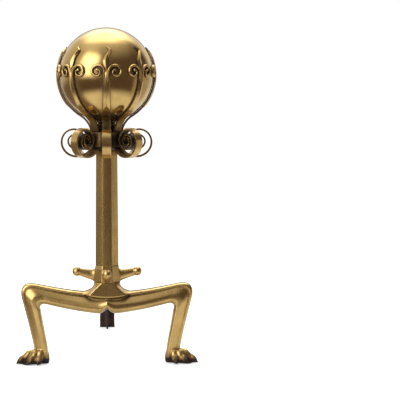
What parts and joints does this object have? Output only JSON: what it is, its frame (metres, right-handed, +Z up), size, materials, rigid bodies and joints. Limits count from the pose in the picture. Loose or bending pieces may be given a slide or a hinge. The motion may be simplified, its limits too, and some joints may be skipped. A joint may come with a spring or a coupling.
{
  "type": "andiron",
  "caption": "Brass andiron with a ball held in forged straps and scrolls, an octagonal column, paw feet and an iron billet bar that carries the logs.",
  "frame": {"origin": "on the floor, under the middle of the whole andiron's bounding box", "axes": "+Z up, -Y to the front of the hearth, +X to the right seen from the front"},
  "size_m": [0.331, 0.568, 0.61],
  "materials": {
    "polished_brass": "polished",
    "cast_brass": "satin polished, darker in the hollows",
    "aged_brass": "brown patina with rubbed edges",
    "black_iron": "rusty, heat-blackened",
    "plain_steel": "dull"
  },
  "bodies": {
    "root": {"ball": "polished_brass", "leg_frame": "cast_brass", "arm_boss": "cast_brass", "shaft": "cast_brass", "ball_seat": "cast_brass", "neck_core": "aged_brass", "collar_band": "aged_brass", "ball_bush": "aged_brass", "strap_1": "aged_brass", "strap_2": "aged_brass", "strap_3": "aged_brass", "strap_4": "aged_brass", "strap_5": "aged_brass", "strap_6": "aged_brass", "strap_7": "aged_brass", "strap_8": "aged_brass", "billet_bar": "black_iron", "tie_rod": "plain_steel", "foot_washer": "plain_steel", "foot_nut": "plain_steel"}
  },
  "joints": []
}
